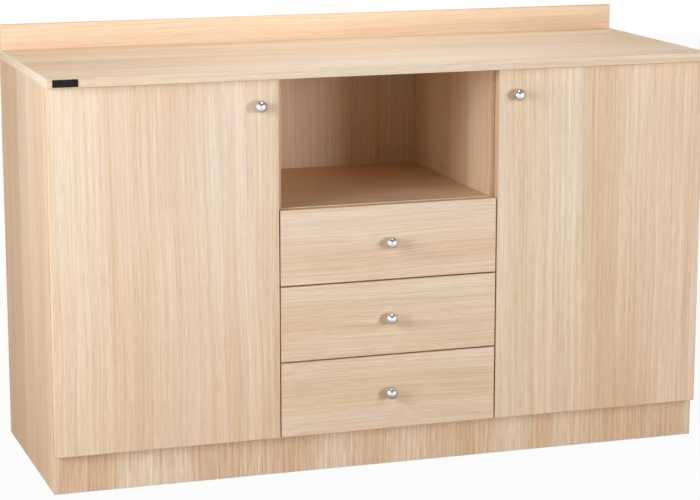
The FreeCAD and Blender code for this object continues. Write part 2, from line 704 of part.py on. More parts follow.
def intermediate(name, side, level):
    """The telescopic channel between the other two, with its ball cages top and bottom."""
    parts = channel(name, side, "{inter_web}", "{inter_depth}", "{inter_height}", level)
    web = "{divider_inner} - {inter_web}"
    runs = {
        "outer": ("{slide_rear} - {cage_end} - {cage_length}", "{slide_rear} - {cage_end}",
                  "{inter_height} / 2", "{outer_height} / 2 - {slide_sheet} - {race_gap}"),
        "inner": ("{slide_front} + {cage_end}", "{slide_front} + {cage_end} + {cage_length}",
                  "{inner_height} / 2 + {race_gap}", "{inter_height} / 2 - {slide_sheet}"),
    }
    centre = f"{web} - {{inter_depth}} / 2"
    across = mirrored(side, f"{centre} - {{cage_width}} / 2", f"{centre} + {{cage_width}} / 2")
    for race, (start, end, near, far) in runs.items():
        for sign in "+-":
            inside = f"{level} {sign} ({near})"
            outside = f"{level} {sign} ({far})"
            low, high = (inside, outside) if sign == "+" else (outside, inside)
            parts.append(block(f"{name}_{race}_cage_{sign}", across, (start, end), (low, high)))
    return fused(name, *parts)


# ---------------------------------------------------------------- drawers
outer_members = []
for number, tier in enumerate(("lower", "middle", "upper")):
    drawer = f"{tier}_drawer"
    bottom = f"({{fronts_bottom}} + {number} * ({{drawer_height}} + {{front_gap}}))"
    top = f"({bottom} + {{drawer_height}})"
    front_panel(f"{drawer}_front", "0 - {drawer_half}", "{drawer_half}", bottom, top)
    knob_z = f"({bottom} + {{drawer_height}} / 2)"
    knob(f"{drawer}_knob", "0", knob_z)
    knob_hole(f"{drawer}_front", "0", knob_z)
    base = f"({bottom} + {{box_rise}})"
    box_up = (base, f"{base} + {{box_height}}")
    sheet_low = f"({base} + {{box_bottom_rise}})"
    sheet_up = (sheet_low, f"{sheet_low} + {{box_bottom_board}}")
    fixings = [knob_screw(f"{drawer}_knob_screw", "0", knob_z)]
    for hand, side in hands.items():
        label = f"{drawer}_{hand}_side"
        board(label, mirrored(side, "{box_half} - {box_board}", "{box_half}"),
              ("{front_back}", "{box_end}"), box_up)
        groove(label, mirrored(side, "{box_half} - {box_board}",
                               "{box_half} - {box_board} + {box_groove}"),
               ("{front_back}", "{box_end}"), sheet_up)
        for spot, level in (("low", f"{base} + {{box_dowel_inset}}"),
                            ("high", f"{base} + {{box_height}} - {{box_dowel_inset}}")):
            x = at(side, "({box_half} - {box_board} / 2)")
            fixings.append(rod(f"{label}_{spot}_dowel", "{box_dowel_radius}",
                               "{dowel_in_edge} + {dowel_in_face}",
                               (x, "{front_back} - {dowel_in_face}", level), "y"))
            radius = "{box_dowel_radius} + {bore_slack}"
            bore(label, radius, "{dowel_in_edge} + {groove_slack}", (x, "{front_back}", level), "y")
            bore(f"{drawer}_front", radius, "{dowel_in_face} + {groove_slack}",
                 (x, "{front_back}", level), "-y")
    inner_half = "{box_half} - {box_board}"
    board(f"{drawer}_back", (f"0 - ({inner_half})", inner_half), ("{box_end} - {box_board}", "{box_end}"),
          (sheet_up[1], box_up[1]))
    sheet_half = f"({inner_half} + {{box_groove}} - {{groove_slack}})"
    groove(f"{drawer}_front", (f"0 - {sheet_half}", sheet_half),
           ("{front_back} - {box_groove}", "{front_back}"), sheet_up)
    board(f"{drawer}_bottom", (f"0 - {sheet_half}", sheet_half),
          ("{front_back} - {box_groove} + {groove_slack}", "{box_end}"), sheet_up)
    slide_level = f"({base} + {{slide_rise}})"
    inner_members = []
    inter_members = []
    for hand, side in hands.items():
        tag = f"{drawer}_{hand}"
        outer_members.append(fused(f"{tag}_outer", *channel(
            f"{tag}_outer_channel", side, "0", "{outer_depth}", "{outer_height}", slide_level)))
        inter_members.append(intermediate(f"{tag}_intermediate", side, slide_level))
        inner_members.append(fused(f"{tag}_inner", *channel(
            f"{tag}_inner_channel", side, "{slide_space} - {slide_sheet}", "-{inner_depth}",
            "{inner_height}", slide_level)))
    finish(f"{drawer}_slide_members", grouped(f"{drawer}_inner_group", inner_members))
    finish(f"{drawer}_intermediate_members", grouped(f"{drawer}_intermediate_group", inter_members))
    finish(f"{drawer}_fixings", grouped(f"{drawer}_fixings_group", fixings))
    finish_boards([f"{drawer}_{piece}" for piece in ("front", "left_side", "right_side", "back", "bottom")])
finish("cabinet_slide_members", grouped("cabinet_slide_group", outer_members))

finish_boards([label for label in boards if label not in nodes])

# ---------------------------------------------------------------- check and write
doc.recompute()
faults = [item.Name for item in doc.Objects if "Invalid" in item.State or "Error" in item.State]
for label, item in nodes.items():
    if item.Shape.isNull() or not item.Shape.isValid():
        faults.append(label)
if faults:
    sys.exit("failed objects: " + ", ".join(faults))
for label, item in nodes.items():
    item.Shape.exportStep(f"parts/{label}.step")
print(len(nodes), "sub-parts written")
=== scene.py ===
import json
import math
import bmesh
import bpy
from mathutils import Matrix, Vector


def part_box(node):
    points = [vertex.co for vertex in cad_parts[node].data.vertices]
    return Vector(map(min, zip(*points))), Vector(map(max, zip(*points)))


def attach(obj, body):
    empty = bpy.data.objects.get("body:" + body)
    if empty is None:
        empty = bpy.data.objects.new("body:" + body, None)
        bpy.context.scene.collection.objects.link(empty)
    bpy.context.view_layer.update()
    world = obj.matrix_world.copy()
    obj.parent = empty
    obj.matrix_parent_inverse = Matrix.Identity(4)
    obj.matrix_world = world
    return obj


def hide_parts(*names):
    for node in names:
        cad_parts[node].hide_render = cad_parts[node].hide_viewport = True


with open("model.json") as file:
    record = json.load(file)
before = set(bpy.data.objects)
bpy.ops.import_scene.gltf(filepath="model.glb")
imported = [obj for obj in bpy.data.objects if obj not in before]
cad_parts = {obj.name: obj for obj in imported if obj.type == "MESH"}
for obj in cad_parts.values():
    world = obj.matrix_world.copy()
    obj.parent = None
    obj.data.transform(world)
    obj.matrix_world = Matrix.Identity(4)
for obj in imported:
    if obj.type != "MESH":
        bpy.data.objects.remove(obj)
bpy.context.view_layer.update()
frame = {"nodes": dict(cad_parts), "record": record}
print("frame loaded:", len(frame["nodes"]), "nodes")

scene = bpy.context.scene
scene.view_settings.view_transform = "Standard"
millimetre = 0.001
bodyOf = {node: body for body, nodes in frame["record"]["behaviour"]["bodies"].items() for node in nodes}


def link(piece):
    scene.collection.objects.link(piece)
    return piece


def camelName(node):
    words = node.split("_")
    return words[0] + "".join(word.capitalize() for word in words[1:])


def inMetres(sizes):
    # the same dictionary of sizes, which are given in millimetres
    return {name: tuple(part * millimetre for part in size) if isinstance(size, tuple) else size * millimetre
            for name, size in sizes.items()}


# camera
cameraView = {
    "location": (-1.544, -4.629, 1.410),
    "tilt": 78.43,      # degrees from straight down
    "turn": -18.37,     # degrees about the upright axis
    "lens": 119.98,     # mm on a sensor 36 mm wide
}


def makeCamera(view):
    data = bpy.data.cameras.new("studioCamera")
    data.lens = view["lens"]
    data.sensor_width = 36
    camera = link(bpy.data.objects.new("studioCamera", data))
    camera.location = view["location"]
    camera.rotation_euler = (math.radians(view["tilt"]), 0, math.radians(view["turn"]))
    scene.camera = camera


makeCamera(cameraView)


# short ways to write node trees
def build(tree, kind, inputs=None, **settings):
    made = tree.nodes.new(kind)
    for name, value in settings.items():
        setattr(made, name, value)
    for name, value in (inputs or {}).items():
        if isinstance(value, bpy.types.NodeSocket):
            tree.links.new(value, made.inputs[name])
        else:
            made.inputs[name].default_value = value
    return made


def maths(tree, operation, *values):
    return build(tree, "ShaderNodeMath", dict(enumerate(values)), operation=operation).outputs[0]


def vectors(tree, operation, inputs):
    return build(tree, "ShaderNodeVectorMath", inputs, operation=operation).outputs[0]


def spread(tree, value, low, high, least, most):
    # carries value from low..high to least..most and stops at the ends
    return build(tree, "ShaderNodeMapRange", {"Value": value, "From Min": low, "From Max": high,
                                              "To Min": least, "To Max": most}).outputs["Result"]


def split(tree, vector):
    return build(tree, "ShaderNodeSeparateXYZ", {0: vector}).outputs


def onPiece(tree):
    return build(tree, "ShaderNodeTexCoord").outputs["Object"]


# studio: each lamp's degrees to the right of the front and upwards, metres away and across, and watts
studioAim = Vector((0, -0.1, 0.5))
lamps = {
    "leftNearSoftbox": (-62, 25, 2.1, 1.1, 6.7),
    "leftLowSoftbox": (-62, 8, 2.1, 1.1, 10.2),
    "leftFarSoftbox": (-70, 15, 4.0, 1.6, 48),
    "rightLowSoftbox": (29, 6.5, 4.0, 1.2, 62),
    "rightMiddleSoftbox": (44, 22, 4.0, 1.2, 20),
    "overheadSoftbox": (0, 88, 1.45, 0.5, 7.5),
    "rearLeftSoftbox": (-135, 45, 4.0, 1.2, 34),
    "rearRightSoftbox": (130, 45, 4.0, 1.2, 32),
    "rearLowSoftbox": (180, 2, 3.0, 0.8, 28),
}
room = {
    "ambient": 0.03,            # what the world gives to matt surfaces
    "front": 1.0,               # how white a gloss shows the room before the cabinet
    "rear": 0.08,               # and behind it
    "rearToFront": (0.45, -0.35),   # the Y of a direction, over which the rear's becomes the front's
    "overhead": 0.3,            # share of that white which is left overhead
    "lowToHigh": (0.2, 0.6),    # the Z of a direction, over which it falls to that
}
floorLook = {
    "size": 14,
    "colour": (0.45, 0.45, 0.45, 1),
    "shownWhite": 0.96,         # to the camera
    "glossWhite": 0.8,          # in a gloss, before the cabinet only
    "glossRuns": (-0.3, -0.9),  # metres along Y over which that begins
}


def makeLamp(name, turn, rise, distance, size, power):
    data = bpy.data.lights.new(name, "AREA")
    data.size = size
    data.energy = power
    made = link(bpy.data.objects.new(name, data))
    turn, rise = math.radians(turn), math.radians(rise)
    away = Vector((math.sin(turn) * math.cos(rise), -math.cos(turn) * math.cos(rise), math.sin(rise)))
    made.location = studioAim + distance * away
    made.rotation_euler = away.to_track_quat("Z", "Y").to_euler()


def raySorts(tree):
    # 1 for a ray that left a gloss, and 1 for a ray from the camera or through something clear
    rays = build(tree, "ShaderNodeLightPath").outputs
    return rays["Is Glossy Ray"], maths(tree, "MAXIMUM", rays["Is Camera Ray"], rays["Is Transmission Ray"])


def makeWorld(look):
    world = bpy.data.worlds.new("studioWorld")
    scene.world = world
    world.use_nodes = True
    tree = world.node_tree
    tree.nodes.clear()
    glossy, direct = raySorts(tree)
    way = split(tree, build(tree, "ShaderNodeTexCoord").outputs["Generated"])
    level = spread(tree, way["Y"], *look["rearToFront"], look["rear"], look["front"])
    above = spread(tree, way["Z"], *look["lowToHigh"], 1.0, look["overhead"])
    strength = spread(tree, glossy, 0.0, 1.0, look["ambient"], maths(tree, "MULTIPLY", level, above))
    strength = spread(tree, direct, 0.0, 1.0, strength, 1.0)
    white = build(tree, "ShaderNodeBackground", {"Color": (1, 1, 1, 1), "Strength": strength})
    build(tree, "ShaderNodeOutputWorld", {0: white.outputs[0]})


def makeFloor(look):
    half = look["size"] / 2
    mesh = bpy.data.meshes.new("studioFloor")
    corners = [(x * half, y * half, 0) for x, y in ((-1, -1), (1, -1), (1, 1), (-1, 1))]
    mesh.from_pydata(corners, [], [(0, 1, 2, 3)])
    floor = link(bpy.data.objects.new("studioFloor", mesh))
    material = bpy.data.materials.new("studioFloorPaint")
    material.use_nodes = True
    tree = material.node_tree
    tree.nodes.clear()
    paint = build(tree, "ShaderNodeBsdfDiffuse", {"Color": look["colour"]})
    white = build(tree, "ShaderNodeEmission", {"Color": (1, 1, 1, 1), "Strength": 1.0})
    glossy, direct = raySorts(tree)
    shown = maths(tree, "MULTIPLY", direct, look["shownWhite"])
    where = split(tree, onPiece(tree))
    before = spread(tree, where["Y"], *look["glossRuns"], 0.0, look["glossWhite"])
    share = maths(tree, "MAXIMUM", shown, maths(tree, "MULTIPLY", glossy, before))
    both = build(tree, "ShaderNodeMixShader", {0: share, 1: paint.outputs[0], 2: white.outputs[0]})
    build(tree, "ShaderNodeOutputMaterial", {0: both.outputs[0]})
    mesh.materials.append(material)


for lampName, lamp in lamps.items():
    makeLamp(lampName, *lamp)
makeWorld(room)
makeFloor(floorLook)
print("studio ready")

# finishes: textures are so many to the metre, and a relief is its strength and its depth in metres
grainMap = "grain"          # UV map in metres: u across the grain, v along it
warmthAndPaintedShadeMark = "warmthAndPaintedShade"       # face value: 0.5 for the common tone, more for a browner board; raised on the niche boards and on the fronts' edge bands as painted shade
figureMark = "figure"       # face value: 1 for common lines, more for stronger ones
noiseCore = (0.35, 0.65)    # the values that a noise mostly takes
noiseMost = (0.3, 0.7)
noiseWhole = (0.25, 0.75)


def newMaterial(name, **sockets):
    material = bpy.data.materials.new(name)
    material.use_nodes = True
    shader = material.node_tree.nodes["Principled BSDF"]
    for socket, value in sockets.items():
        shader.inputs[socket.replace("_", " ")].default_value = value
    return material, material.node_tree, shader


def feed(tree, shader, **sockets):
    for socket, value in sockets.items():
        tree.links.new(value, shader.inputs[socket.replace("_", " ")])


def press(tree, shader, relief, height):
    strength, depth = relief
    bump = build(tree, "ShaderNodeBump", {"Strength": strength, "Distance": depth, "Height": height})
    feed(tree, shader, Normal=bump.outputs[0])


def noise(tree, where, scale, detail, distortion=0.0):
    return build(tree, "ShaderNodeTexNoise", {"Vector": where, "Scale": scale, "Detail": detail,
                                              "Distortion": distortion}).outputs[0]


def lines(tree, across, along, perMetreAcross, perMetreAlong, seed, detail):
    # noise drawn out along the grain
    x, y = maths(tree, "MULTIPLY", across, perMetreAcross), maths(tree, "MULTIPLY", along, perMetreAlong)
    where = build(tree, "ShaderNodeCombineXYZ", {"X": x, "Y": y, "Z": seed})
    return noise(tree, where.outputs[0], 1.0, detail)


def blended(tree, share, first, second, kind="MIX"):
    # sockets 6, 7 and 2 are those that carry colours
    return build(tree, "ShaderNodeMix", {0: share, 6: first, 7: second}, data_type="RGBA",
                 blend_type=kind).outputs[2]


oakPrint = {
    "tones": ((0.0, (0.760, 0.525, 0.345, 1)), (0.35, (0.820, 0.612, 0.430, 1)),
              (0.65, (0.848, 0.663, 0.485, 1)), (1.0, (0.872, 0.724, 0.565, 1))),
    "greenish": (0.992, 1.007, 0.982, 1),
    "pinkish": (1.005, 0.989, 1.002, 1),
    "peach": (0.84, 0.565, 0.36, 1),
    # lines a metre across and along the grain, seed and detail
    "stray": (3.0, 1.5, 3.0, 2.0),
    "zones": (5.5, 0.45, 11.0, 2.0),
    "hues": (17.0, 0.40, 13.0, 1.0),
    "blush": (42.0, 0.7, 23.0, 0.0),
    "bands": (26.0, 0.55, 17.0, 3.0),
    "streaks": (150.0, 1.5, 31.0, 3.0),
    "fineStreaks": (390.0, 4.5, 47.0, 2.0),
    "pores": (800.0, 26.0, 59.0, 1.0),
    "wander": 0.016,                    # metres that the lines stray sideways
    "zoneTones": (0.34, 0.66, 0.5, 1.5),
    "blushFrom": (0.54, 0.72),
    "blushShare": 0.32,
    "bandDepth": 0.075,
    "streakDepth": 0.105,
    "fineDepth": 0.095,
    "poreDepth": 0.09,
    "bandTint": (0.50, 0.95, 1.50),     # how much a band changes red, green and blue
    "lineTint": (0.68, 1.00, 1.55),
    "roughness": (0.50, 0.62),
    "gloss": 0.35,
    "poreRelief": 0.6,                  # of the fine streaks' height
    "relief": (0.2, 0.0002),
}


def toneRamp(tree, value, stops):
    ramp = build(tree, "ShaderNodeValToRGB", {0: value})
    elements = ramp.color_ramp.elements
    while len(elements) < len(stops):
        elements.new(0.5)
    for element, (position, colour) in zip(elements, stops):
        element.position = position
        element.color = colour
    return ramp.outputs["Color"]


def oakLaminate(name, look):
    material, tree, shader = newMaterial(name, Specular_IOR_Level=look["gloss"])
    sheet = split(tree, build(tree, "ShaderNodeUVMap", uv_map=grainMap).outputs[0])
    warmthAndPaintedShade, figure = [build(tree, "ShaderNodeAttribute", attribute_name=mark).outputs["Fac"]
                      for mark in (warmthAndPaintedShadeMark, figureMark)]
    across, lengthwise = sheet["X"], sheet["Y"]
    stray = maths(tree, "SUBTRACT", lines(tree, across, lengthwise, *look["stray"]), 0.5)
    across = maths(tree, "ADD", across, maths(tree, "MULTIPLY", stray, 2 * look["wander"]))
    zones, hues, blush, bands, streaks, fine, pores = [
        lines(tree, across, lengthwise, *look[layer])
        for layer in ("zones", "hues", "blush", "bands", "streaks", "fineStreaks", "pores")]
    # the warmth mark turns the print browner; its raised values in the niche and on the fronts' edges are
    # painted shade
    tone = maths(tree, "SUBTRACT", spread(tree, zones, *look["zoneTones"]), warmthAndPaintedShade)
    hue = blended(tree, spread(tree, hues, *noiseCore, 0, 1), look["greenish"], look["pinkish"])
    colour = blended(tree, 1.0, toneRamp(tree, tone, look["tones"]), hue, "MULTIPLY")
    blush = spread(tree, blush, *look["blushFrom"], 0, look["blushShare"])
    colour = blended(tree, blush, colour, look["peach"])
    for tint, parts in (("bandTint", ((bands, "bandDepth"),)),
                        ("lineTint", ((streaks, "streakDepth"), (fine, "fineDepth"), (pores, "poreDepth")))):
        shade = 0.0
        for value, depth in parts:
            shade = maths(tree, "ADD", shade, spread(tree, value, *noiseWhole, -look[depth], look[depth]))
        change = vectors(tree, "SCALE", {0: look[tint], "Scale": maths(tree, "MULTIPLY", shade, figure)})
        colour = vectors(tree, "MULTIPLY", {0: colour, 1: vectors(tree, "ADD", {0: change, 1: (1, 1, 1)})})
    feed(tree, shader, Base_Color=colour, Roughness=spread(tree, streaks, *noiseMost, *look["roughness"]))
    height = maths(tree, "ADD", fine, maths(tree, "MULTIPLY", pores, look["poreRelief"]))
    press(tree, shader, look["relief"], height)
    return material


chipboardLook = {
    "dark": (0.42, 0.28, 0.16, 1), "light": (0.74, 0.57, 0.38, 1), "dusty": (0.60, 0.44, 0.28, 1),
    "chips": 520.0, "dust": (900.0, 3.0), "dustShare": 0.5, "roughness": 0.85, "relief": (0.5, 0.0004),
}


def chipboard(name, look):
    material, tree, shader = newMaterial(name, Roughness=look["roughness"])
    chips = build(tree, "ShaderNodeTexVoronoi", {"Vector": onPiece(tree), "Scale": look["chips"]}).outputs
    colour = blended(tree, split(tree, chips["Color"])["X"], look["dark"], look["light"])
    dust = spread(tree, noise(tree, onPiece(tree), *look["dust"]), *noiseCore, 0, look["dustShare"])
    feed(tree, shader, Base_Color=blended(tree, dust, colour, look["dusty"]))
    press(tree, shader, look["relief"], chips["Distance"])
    return material


# a fine and a coarse noise, each with its scale and detail, give these their two tones, roughness and relief;
# a metal's fine noise is drawn out into brush marks along X, Y and Z
plainCommon = {"toneFine": 1, "toneSpan": noiseCore, "wearFine": 1, "wearSpan": noiseMost, "sockets": {}}
boxLook = {"coarse": (9.0, 3.0), "toneFine": 0.4, "relief": (0.35, 0.00015),
           "sockets": {"Specular_IOR_Level": 0.35}}
metalLook = {"fine": (1.0, 3.0), "toneFine": 0, "wearFine": 0.6, "wearSpan": noiseCore,
             "sockets": {"Metallic": 1.0}}
plainLooks = {
    "drawerBoxLaminate": {
        **boxLook, "tones": ((0.80, 0.72, 0.60, 1), (0.87, 0.80, 0.69, 1)), "fine": (850.0, 2.0),
        "roughness": (0.42, 0.55)},
    "drawerBoxEdgeBand": {
        **boxLook, "tones": ((0.82, 0.74, 0.62, 1), (0.88, 0.81, 0.70, 1)), "fine": (500.0, 2.0),
        "roughness": (0.40, 0.50)},
    "hardboardSheet": {
        "tones": ((0.60, 0.47, 0.34, 1), (0.80, 0.69, 0.55, 1)), "fine": (420.0, 4.0, 2.5),
        "coarse": (26.0, 3.0), "toneFine": 0.65, "toneSpan": (0.34, 0.66), "relief": (0.3, 0.0002),
        "sockets": {"Roughness": 0.75, "Specular_IOR_Level": 0.3}},
    "polishedChrome": {
        **metalLook, "tones": ((0.80, 0.81, 0.82, 1), (0.90, 0.90, 0.90, 1)), "coarse": (130.0, 3.0),
        "brush": (900, 900, 900), "roughness": (0.05, 0.12), "relief": (0.03, 0.00005),
        # the dark specular tint darkens the knobs' grazing rims: a painted dark reflection of the shaded wood
        # around them
        "sockets": {"Metallic": 1.0, "Specular_Tint": (0.25, 0.25, 0.27, 1)}},
    "nickelSteel": {
        **metalLook, "tones": ((0.66, 0.65, 0.62, 1), (0.78, 0.77, 0.74, 1)), "coarse": (160.0, 3.0),
        "brush": (300, 300, 1800), "roughness": (0.20, 0.34), "relief": (0.12, 0.00005)},
    "zincSteel": {
        **metalLook, "tones": ((0.58, 0.60, 0.62, 1), (0.74, 0.75, 0.76, 1)), "coarse": (240.0, 3.0),
        "brush": (1500, 40, 1500), "roughness": (0.28, 0.44), "relief": (0.18, 0.00005)},
    "ballSteel": {
        **metalLook, "tones": ((0.70, 0.70, 0.70, 1), (0.84, 0.84, 0.84, 1)), "coarse": (900.0, 3.0),
        "brush": (700, 700, 700), "roughness": (0.08, 0.16), "relief": (0.02, 0.00005)},
    "blackPlate": {
        "tones": ((0.010, 0.010, 0.011, 1), (0.035, 0.035, 0.037, 1)), "fine": (1600.0, 2.0),
        "coarse": (90.0, 2.0), "toneSpan": (0.55, 0.75), "wearFine": 0, "roughness": (0.22, 0.36),
        "sockets": {"Specular_IOR_Level": 0.15}},
    "clearBuffer": {
        "tones": ((0.74, 0.74, 0.72, 1), (0.86, 0.86, 0.84, 1)), "fine": (700.0, 2.0), "toneSpan": (0, 1),
        "roughness": (0.3, 0.5), "sockets": {"Transmission_Weight": 0.55, "IOR": 1.45}},
}


def shared(tree, first, share, second):
    # the first with its share, and the second with the rest
    if share in (0, 1):
        return first if share else second
    parts = maths(tree, "MULTIPLY", first, share), maths(tree, "MULTIPLY", second, 1 - share)
    return maths(tree, "ADD", *parts)


def plainFinish(name):
    look = {**plainCommon, **plainLooks[name]}
    material, tree, shader = newMaterial(name, **look["sockets"])
    where = onPiece(tree)
    if "brush" in look:
        where = build(tree, "ShaderNodeMapping", {"Vector": where, "Scale": look["brush"]}).outputs[0]
    fine = noise(tree, where, *look["fine"])
    coarse = noise(tree, onPiece(tree), *look["coarse"]) if "coarse" in look else fine
    tone, wear = [shared(tree, fine, look[share], coarse) for share in ("toneFine", "wearFine")]
    feed(tree, shader, Base_Color=blended(tree, spread(tree, tone, *look["toneSpan"], 0, 1), *look["tones"]))
    if "roughness" in look:
        feed(tree, shader, Roughness=spread(tree, wear, *look["wearSpan"], *look["roughness"]))
    if "relief" in look:
        press(tree, shader, look["relief"], fine)
    return material


beechLook = {
    "colour": (0.70, 0.52, 0.33, 1), "light": (0.80, 0.65, 0.46, 1), "fleck": (0.52, 0.34, 0.20, 1),
    "rings": (300.0, 3.0), "flecks": 900.0, "fleckShare": 0.5, "fleckSize": (0.05, 0.25), "roughness": 0.7,
    "relief": (0.3, 0.0001),
}


def beechWood(name, look):
    material, tree, shader = newMaterial(name, Roughness=look["roughness"])
    flecks = build(tree, "ShaderNodeTexVoronoi", {"Vector": onPiece(tree), "Scale": look["flecks"]})
    rings = noise(tree, onPiece(tree), *look["rings"])
    colour = blended(tree, spread(tree, rings, *noiseCore, 0, 1), look["colour"], look["light"])
    fleck = spread(tree, flecks.outputs["Distance"], *look["fleckSize"], look["fleckShare"], 0)
    feed(tree, shader, Base_Color=blended(tree, fleck, colour, look["fleck"]))
    press(tree, shader, look["relief"], rings)
    return material


finishes = {
    "oakFace": oakLaminate("oakLaminate", oakPrint),
    "oakBand": oakLaminate("oakEdgeBand", {**oakPrint, "gloss": 0.05}),
    "chipboard": chipboard("chipboardCore", chipboardLook),
    "beech": beechWood("beechDowel", beechLook),
    **{name: plainFinish(name) for name in plainLooks},
}
sheets = {      # a board's faces, banded edges and raw edges
    "oak": ("oakFace", "oakBand", "chipboard"),
    "box": ("drawerBoxLaminate", "drawerBoxEdgeBand", "chipboard"),
    "hardboard": ("hardboardSheet",) * 3,
}
print("finishes ready:", len(finishes))

# boards
boardMaking = inMetres({
    "bandThickness": 1.0,
    "bandRounding": 0.25,
    "rawRounding": 0.2,
    "faceDepth": 0.4,           # how far under a board's face its printed surface still counts
})
roundingSteps = 3
boardSmoothing = 15             # degrees
allRound = "-x +x -z +z"
boardCommon = {"grain": "z", "banded": "", "warmthAndPaintedShade": 0.5, "figure": 1.0, "sheet": "oak"}
boards = {      # edge is the warmth of the edge bands, browner on the right door and the drawer fronts as painted shade in the gaps between them, and place the board's own on the printed sheet
    "worktop": {"grain": "x", "banded": "-x +x -y", "warmthAndPaintedShade": 0.52, "edge": 0.1, "place": (0.076, -1.048)},
    "upstand": {"grain": "x", "banded": "-x +x +z", "warmthAndPaintedShade": 0.24, "figure": 0.8, "place": (8.501, 2.405)},
    "left_side_panel": {"banded": "-y", "warmthAndPaintedShade": 0.63, "place": (5.966, 3.183)},
    "right_side_panel": {"banded": "-y", "warmthAndPaintedShade": 0.55},
    "left_divider": {"banded": "-y", "warmthAndPaintedShade": 0.75},
    # the right divider's and the niche shelf's browner tone is painted shade inside the niche; their front
    # edges are kept paler
    "right_divider": {"banded": "-y", "warmthAndPaintedShade": 0.8, "edge": 0.6},
    "bottom_panel": {"grain": "x", "banded": "-y"},
    "niche_shelf": {"grain": "x", "banded": "-y", "warmthAndPaintedShade": 1.25, "edge": 0.8},
    "cupboard_shelves": {"grain": "x", "banded": "-y"},
    "plinth_board": {"warmthAndPaintedShade": 0.73, "figure": 1.9, "place": (3.708, 2.660)},
    "rear_plinth_board": {},
    "plinth_cross_supports": {"grain": "y"},
    "left_back_panel": {},
    "niche_back_panel": {},
    "right_back_panel": {},
    "left_door_panel": {"warmthAndPaintedShade": 0.28, "figure": 1.05, "place": (11.440, 0.778)},
    # the browner edge bands of the right door and of the drawer fronts are painted shade in the gaps between
    # the fronts
    "right_door_panel": {"warmthAndPaintedShade": 0.48, "edge": 1.5, "figure": 1.2, "place": (3.195, 1.369)},
    "lower_drawer_front": {"grain": "x", "warmthAndPaintedShade": 0.78, "edge": 1.5, "figure": 1.15, "place": (5.713, 0.854)},
    "middle_drawer_front": {"grain": "x", "warmthAndPaintedShade": 0.40, "edge": 1.5, "figure": 1.1, "place": (8.058, 1.679)},
    "upper_drawer_front": {"grain": "x", "warmthAndPaintedShade": 0.33, "edge": 0.9, "figure": 1.1, "place": (8.961, 1.819)},
}
tiers = ("lower", "middle", "upper")
hands = ("left", "right")
for node in [f"{hand}_door_panel" for hand in hands] + [f"{tier}_drawer_front" for tier in tiers]:
    boards[node]["banded"] = allRound
for tier in tiers:
    for panel, grain in (("left_side", "y"), ("right_side", "y"), ("back", "x")):
        boards[f"{tier}_drawer_{panel}"] = {"grain": grain, "banded": "+z", "sheet": "box"}
    boards[f"{tier}_drawer_bottom"] = {"grain": "y", "sheet": "hardboard"}
nearPlane = 0.02 * millimetre
sheetStep = (0.613, 0.377)      # metres between the places of two boards on the printed sheet
solidStep = 0.37                # the part of that step between two solids of one node
rearShift, edgeShift = 2.5, 5.0     # metres on the sheet from a board's face to its rear and to its edges


def settle(piece, node, smoothed=32):
    # puts a piece in a CAD node's place; edges that turn by less than the smoothed angle are shaded as one
    piece.data.shade_smooth()
    piece.data.set_sharp_from_angle(angle=math.radians(smoothed))
    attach(piece, bodyOf[node])
    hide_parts(node)


def meshOf(work, name):
    bmesh.ops.recalc_face_normals(work, faces=work.faces)
    mesh = bpy.data.meshes.new(name)
    work.to_mesh(mesh)
    work.free()
    return mesh


def finish(work, names, node, **shading):
    mesh = meshOf(work, camelName(node))
    for name in names:
        mesh.materials.append(finishes[name])
    settle(link(bpy.data.objects.new(camelName(node), mesh)), node, **shading)


def mergedCopy(node):
    work = bmesh.new()
    work.from_mesh(frame["nodes"][node].data)
    bmesh.ops.remove_doubles(work, verts=work.verts, dist=1e-6)
    bmesh.ops.dissolve_limit(work, angle_limit=math.radians(0.5), verts=work.verts, edges=work.edges)
    return work


def separateSolids(work):
    left, solids = set(work.verts), []
    while left:
        wave = [left.pop()]
        solid = set(wave)
        while wave:
            for edge in wave.pop().link_edges:
                for corner in edge.verts:
                    if corner in left:
                        left.remove(corner)
                        solid.add(corner)
                        wave.append(corner)
        solids.append(solid)
    return sorted(solids, key=lambda solid: min(corner.co.x for corner in solid))


def limits(corners):
    return [[pick(corner.co[axis] for corner in corners) for axis in range(3)] for pick in (min, max)]


def within(point, low, high):
    return all(low[axis] - nearPlane < point[axis] < high[axis] + nearPlane for axis in range(3))


def outerSide(face, low, high):
    # (axis, end) of the board's outer plane that the face lies in, or None
    for axis in range(3):
        if abs(face.normal[axis]) > 0.999:
            end = int(face.normal[axis] > 0)
            if abs(face.verts[0].co[axis] - (low, high)[end][axis]) < nearPlane:
                return axis, end
    return None


def facesOf(solid):
    return {face for corner in solid if corner.is_valid for face in corner.link_faces}


def rounded(work, edges, size, steps):
    if edges:
        bmesh.ops.bevel(work, geom=list(edges), offset=size, offset_type="OFFSET", affect="EDGES",
                        segments=steps, profile=0.5, clamp_overlap=True)


def roundArrises(work, low, high, wanted, size):
    # rounds the board's own arrises, and leaves its bores and grooves crisp
    work.normal_update()
    inside = [face for face in work.faces if within(face.verts[0].co, low, high)]
    sides = {face: outerSide(face, low, high) for face in inside}
    edges = []
    for edge in {edge for face in inside for edge in face.edges}:
        pair = [sides.get(face) for face in edge.link_faces]
        if len(pair) == 2 and None not in pair and pair[0] != pair[1] and wanted(pair):
            edges.append(edge)
    rounded(work, edges, size, roundingSteps)
    for corner in work.verts:
        if within(corner.co, low, high):
            corner.co = Vector([min(max(corner.co[axis], low[axis]), high[axis]) for axis in range(3)])


